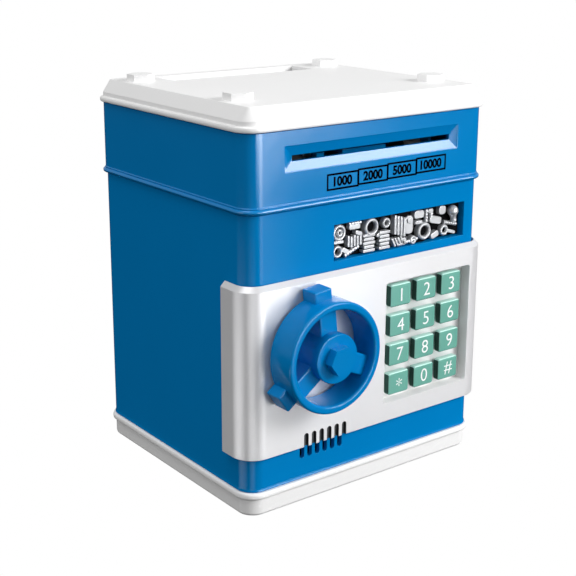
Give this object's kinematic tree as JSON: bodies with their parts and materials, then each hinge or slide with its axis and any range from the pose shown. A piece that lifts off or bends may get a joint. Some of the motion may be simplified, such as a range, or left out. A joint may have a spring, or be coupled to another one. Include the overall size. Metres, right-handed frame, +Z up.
{
  "type": "toy money bank",
  "caption": "Toy safe-shaped money bank with a hinged keypad door, a handwheel latch, a motorised banknote slot in its front and a coin slot in its lid.",
  "frame": {"origin": "centre of the casing's footprint, on the underside of the base tray", "axes": "+X to the right seen from the front, +Y to the back, +Z up; the door and handwheel face -Y"},
  "size_m": [0.1457, 0.1476, 0.1841],
  "materials": {
    "blue_plastic": "smooth moulded, light gloss",
    "white_plastic": "fine moulded texture",
    "silver_plastic": "silver-sprayed, satin",
    "mint_plastic": "smooth, light gloss",
    "dark_plastic": "matt",
    "grey_rubber": "matt",
    "steel": "satin",
    "circuit_board": "solder mask",
    "battery_sleeve": "printed sleeve",
    "picture_print": "printed and moulded relief",
    "gear_nylon": "natural nylon"
  },
  "bodies": {
    "casing": {"base_tray": "white_plastic", "lower_body": "blue_plastic", "upper_body": "blue_plastic", "top_cover": "white_plastic", "coin_chute": "blue_plastic", "picture_panel": "picture_print", "hinge_pin": "steel", "feeder_frame": "blue_plastic", "feed_motor": "steel", "battery_cover": "white_plastic", "battery_cover_screw": "steel", "battery_cell_1": "battery_sleeve", "battery_cell_2": "battery_sleeve", "battery_cell_3": "battery_sleeve", "battery_contact_left": "steel", "battery_contact_right": "steel", "speaker": "dark_plastic", "main_board": "circuit_board", "base_screw_1": "steel", "base_screw_2": "steel", "base_screw_3": "steel", "base_screw_4": "steel"},
    "door": {"door_panel": "silver_plastic", "door_back": "blue_plastic", "keypad_membrane": "grey_rubber", "keypad_board": "circuit_board", "lock_solenoid": "steel"},
    "wheel": {"handwheel": "blue_plastic", "wheel_shaft": "steel", "latch_cam": "gear_nylon", "latch_arm": "steel"},
    "plunger": {"lock_plunger": "steel"},
    "feed_roller": {"feed_shaft": "steel", "feed_tyre_left": "grey_rubber", "feed_tyre_right": "grey_rubber", "feed_gear": "gear_nylon"},
    "idler_roller": {"idler_shaft": "steel", "idler_tyre_left": "grey_rubber", "idler_tyre_right": "grey_rubber"},
    "motor_rotor": {"motor_shaft": "steel", "motor_pinion": "gear_nylon"},
    "key_1": {"key_1": "mint_plastic"},
    "key_2": {"key_2": "mint_plastic"},
    "key_3": {"key_3": "mint_plastic"},
    "key_4": {"key_4": "mint_plastic"},
    "key_5": {"key_5": "mint_plastic"},
    "key_6": {"key_6": "mint_plastic"},
    "key_7": {"key_7": "mint_plastic"},
    "key_8": {"key_8": "mint_plastic"},
    "key_9": {"key_9": "mint_plastic"},
    "key_star": {"key_star": "mint_plastic"},
    "key_0": {"key_0": "mint_plastic"},
    "key_hash": {"key_hash": "mint_plastic"}
  },
  "joints": [
    {"name": "door_hinge", "type": "hinge", "parent": "casing", "child": "door", "pos_m": [0.0717, -0.0458, 0.06695], "axis": [0, 0, 1], "range_deg": [0, 105]},
    {"name": "wheel_turn", "type": "hinge", "parent": "door", "child": "wheel", "pos_m": [-0.035, -0.0723, 0.0732], "axis": [0, -1, 0], "range_deg": [0, 90]},
    {"name": "plunger_slide", "type": "slide", "parent": "door", "child": "plunger", "axis": [0, 0, 1], "range_m": [0, 0.003]},
    {"name": "feed_roller_spin", "type": "hinge", "parent": "casing", "child": "feed_roller", "pos_m": [0, -0.0435, 0.15175], "axis": [1, 0, 0], "continuous": true},
    {"name": "idler_roller_spin", "type": "hinge", "parent": "casing", "child": "idler_roller", "pos_m": [0, -0.0435, 0.16415], "axis": [1, 0, 0], "continuous": true},
    {"name": "motor_spin", "type": "hinge", "parent": "casing", "child": "motor_rotor", "pos_m": [-0.0485, -0.0294, 0.15175], "axis": [1, 0, 0], "continuous": true},
    {"name": "key_1_press", "type": "slide", "parent": "door", "child": "key_1", "axis": [0, 1, 0], "range_m": [0, 0.0011], "stiffness_N_per_m": 300},
    {"name": "key_2_press", "type": "slide", "parent": "door", "child": "key_2", "axis": [0, 1, 0], "range_m": [0, 0.0011], "stiffness_N_per_m": 300},
    {"name": "key_3_press", "type": "slide", "parent": "door", "child": "key_3", "axis": [0, 1, 0], "range_m": [0, 0.0011], "stiffness_N_per_m": 300},
    {"name": "key_4_press", "type": "slide", "parent": "door", "child": "key_4", "axis": [0, 1, 0], "range_m": [0, 0.0011], "stiffness_N_per_m": 300},
    {"name": "key_5_press", "type": "slide", "parent": "door", "child": "key_5", "axis": [0, 1, 0], "range_m": [0, 0.0011], "stiffness_N_per_m": 300},
    {"name": "key_6_press", "type": "slide", "parent": "door", "child": "key_6", "axis": [0, 1, 0], "range_m": [0, 0.0011], "stiffness_N_per_m": 300},
    {"name": "key_7_press", "type": "slide", "parent": "door", "child": "key_7", "axis": [0, 1, 0], "range_m": [0, 0.0011], "stiffness_N_per_m": 300},
    {"name": "key_8_press", "type": "slide", "parent": "door", "child": "key_8", "axis": [0, 1, 0], "range_m": [0, 0.0011], "stiffness_N_per_m": 300},
    {"name": "key_9_press", "type": "slide", "parent": "door", "child": "key_9", "axis": [0, 1, 0], "range_m": [0, 0.0011], "stiffness_N_per_m": 300},
    {"name": "key_star_press", "type": "slide", "parent": "door", "child": "key_star", "axis": [0, 1, 0], "range_m": [0, 0.0011], "stiffness_N_per_m": 300},
    {"name": "key_0_press", "type": "slide", "parent": "door", "child": "key_0", "axis": [0, 1, 0], "range_m": [0, 0.0011], "stiffness_N_per_m": 300},
    {"name": "key_hash_press", "type": "slide", "parent": "door", "child": "key_hash", "axis": [0, 1, 0], "range_m": [0, 0.0011], "stiffness_N_per_m": 300}
  ],
  "couplings": [
    {"joint": "idler_roller_spin", "follows": "feed_roller_spin", "ratio": -1},
    {"joint": "motor_spin", "follows": "feed_roller_spin", "ratio": -2.5}
  ]
}
